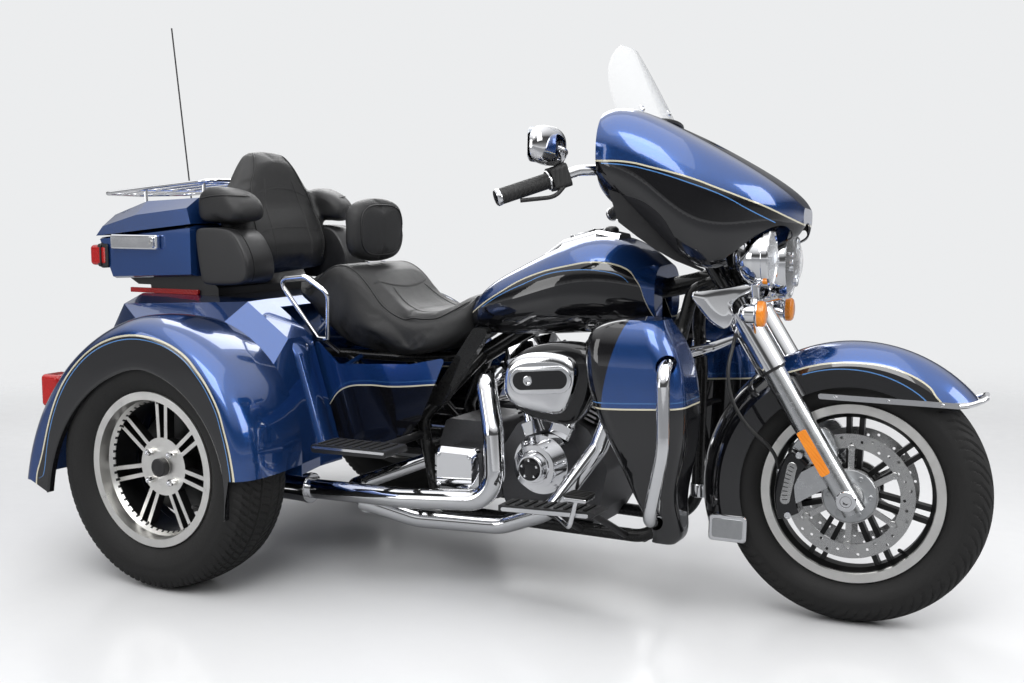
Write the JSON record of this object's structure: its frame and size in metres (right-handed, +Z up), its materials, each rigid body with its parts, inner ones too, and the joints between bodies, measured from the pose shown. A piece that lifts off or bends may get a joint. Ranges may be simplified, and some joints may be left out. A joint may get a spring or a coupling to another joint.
{
  "type": "motorized trike",
  "caption": "Touring motorized trike with a vee engine, handlebar fairing, two-up seat, luggage box with lid, rear trunk with door, and three wheels that roll; the front one steers.",
  "frame": {"origin": "middle of the whole trike's box, on the ground", "axes": "+X forward along the trike, +Y to the rider's left, +Z up"},
  "size_m": [2.7778, 1.39, 1.6282],
  "materials": {
    "aluminium": "satin clear-coated cast aluminium",
    "black_gloss": "gloss black paint, clear coated",
    "black_paint": "satin black paint",
    "black_trim": "grained black plastic and rubber",
    "body_paint": "metallic deep blue over gloss black, clear coated",
    "chrome": "polished chrome plate",
    "clear_screen": "clear polycarbonate",
    "engine_black": "wrinkle black paint on cast aluminium",
    "frame_paint": "gloss black powder coat on steel tube",
    "grip_rubber": "black rubber grips and switch housings",
    "hose_rubber": "satin black rubber hose",
    "red_lens": "clear red moulded lens",
    "seat_cover": "black stitched leather-like cover over foam",
    "steel": "ground stainless steel",
    "tyre": "matte black rubber",
    "wheel_metal": "machined faces and lip over black paint"
  },
  "bodies": {
    "chassis": {"air_cleaner": "chrome", "antenna": "black_paint", "box_latch": "chrome", "cylinders": "engine_black", "engine_case": "engine_black", "engine_covers": "chrome", "engine_guard": "chrome", "exhaust": "chrome", "foot_pedals": "chrome", "footboards": "black_trim", "frame": "frame_paint", "frame_covers": "black_gloss", "fuel_tank": "body_paint", "gearbox": "engine_black", "grab_rails": "chrome", "leg_shields": "body_paint", "luggage_box": "body_paint", "passenger_backrest": "seat_cover", "primary_cover": "chrome", "pushrod_tubes": "chrome", "rear_axle": "frame_paint", "rear_body": "body_paint", "rear_fenders": "body_paint", "rear_lamps": "red_lens", "rider_backrest": "seat_cover", "rocker_covers": "chrome", "seat": "seat_cover", "shock_absorbers": "black_paint", "side_covers": "black_gloss", "tank_console": "chrome"},
    "steering": {"fork_clamps": "chrome", "fork_sliders": "aluminium", "fork_covers": "chrome", "front_axle": "steel", "calipers": "black_paint", "front_fender": "body_paint", "handlebar": "chrome", "hand_controls": "grip_rubber", "mirrors": "chrome", "fairing_outer": "body_paint", "fairing_inner": "black_trim", "headlamp": "chrome", "auxiliary_lamps": "chrome", "windshield": "clear_screen", "brake_hoses": "hose_rubber"},
    "front_wheel": {"front_rim": "wheel_metal", "front_discs": "steel", "front_tyre": "tyre"},
    "rear_left_wheel": {"rear_left_rim": "wheel_metal", "rear_left_tyre": "tyre"},
    "rear_right_wheel": {"rear_right_rim": "wheel_metal", "rear_right_tyre": "tyre"},
    "box_lid": {"luggage_lid": "body_paint", "luggage_rack": "chrome"},
    "trunk_door_body": {"trunk_door": "body_paint"},
    "fuel_door_body": {"fuel_door": "chrome"}
  },
  "joints": [
    {"name": "steering", "type": "hinge", "parent": "chassis", "child": "steering", "pos_m": [1.17069, 0, 0], "axis": [-0.4384, 0, 0.8988], "range_deg": [-43, 29]},
    {"name": "front_wheel_spin", "type": "hinge", "parent": "steering", "child": "front_wheel", "pos_m": [1.07035, 0.00613, 0.31965], "axis": [-0.1095, 0.9925, -0.0534], "continuous": true},
    {"name": "rear_left_spin", "type": "hinge", "parent": "chassis", "child": "rear_left_wheel", "pos_m": [-0.59931, 0.5775, 0.324], "axis": [0, 1, 0], "continuous": true},
    {"name": "rear_right_spin", "type": "hinge", "parent": "chassis", "child": "rear_right_wheel", "pos_m": [-0.59931, -0.5775, 0.324], "axis": [0, 1, 0], "continuous": true},
    {"name": "box_lid_hinge", "type": "hinge", "parent": "chassis", "child": "box_lid", "pos_m": [-0.97331, 0.302, 0.938], "axis": [-0.9948, 0, -0.1016], "range_deg": [0, 80]},
    {"name": "trunk_door_hinge", "type": "hinge", "parent": "chassis", "child": "trunk_door_body", "pos_m": [-1.08331, 0, 0.466], "axis": [0, -1, 0], "range_deg": [0, 95]},
    {"name": "fuel_door_hinge", "type": "hinge", "parent": "chassis", "child": "fuel_door_body", "pos_m": [0.35061, 0.035, 0.93629], "axis": [-0.963, 0, -0.2696], "range_deg": [0, 85]}
  ]
}
